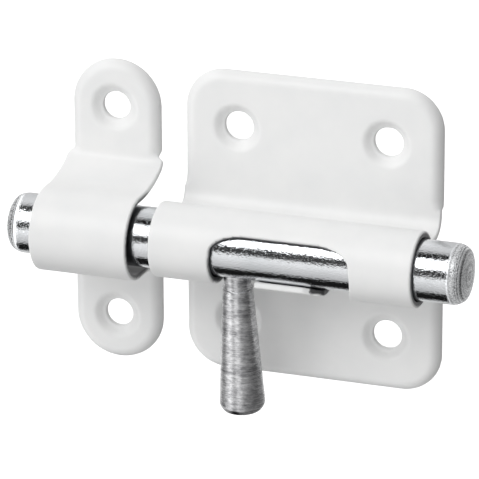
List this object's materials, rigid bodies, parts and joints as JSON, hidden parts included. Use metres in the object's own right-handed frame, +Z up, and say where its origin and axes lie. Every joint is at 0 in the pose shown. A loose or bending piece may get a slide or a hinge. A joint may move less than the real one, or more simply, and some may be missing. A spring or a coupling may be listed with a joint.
{
  "type": "toggle bolt latch",
  "caption": "Round sliding bolt in a pressed steel barrel plate, locked by a hanging handle in a notched window, with a separate looped keeper plate",
  "frame": {"origin": "middle of the main plate's four screw holes, on the plane of the door that it is screwed to", "axes": "+Z up, +X along the bolt from its tip to its tail, -Y towards the user"},
  "size_m": [0.11, 0.0278, 0.0773],
  "materials": {
    "white_powder_coat": "gloss white powder coat with a faint orange peel, softly rounded over every pressed edge",
    "bright_zinc": "bright drawn and plated round bar with lathe-turned end faces",
    "turned_steel": "fine circumferential turning lines under thin bright zinc"
  },
  "bodies": {
    "plate": {"barrel_plate": "white_powder_coat"},
    "keeper": {"keeper_plate": "white_powder_coat"},
    "bolt": {"bolt_rod": "bright_zinc"},
    "lever": {"handle": "turned_steel"}
  },
  "joints": [
    {"name": "keeper_slide", "type": "slide", "parent": "plate", "child": "keeper", "axis": [-1, 0, 0], "range_m": [0, 0.032]},
    {"name": "bolt_slide", "type": "slide", "parent": "plate", "child": "bolt", "axis": [1, 0, 0], "range_m": [-0.0004, 0.0023]},
    {"name": "handle_turn", "type": "hinge", "parent": "bolt", "child": "lever", "pos_m": [-0.0129, -0.0179, 0], "axis": [-1, 0, 0], "range_deg": [0, 100]}
  ]
}
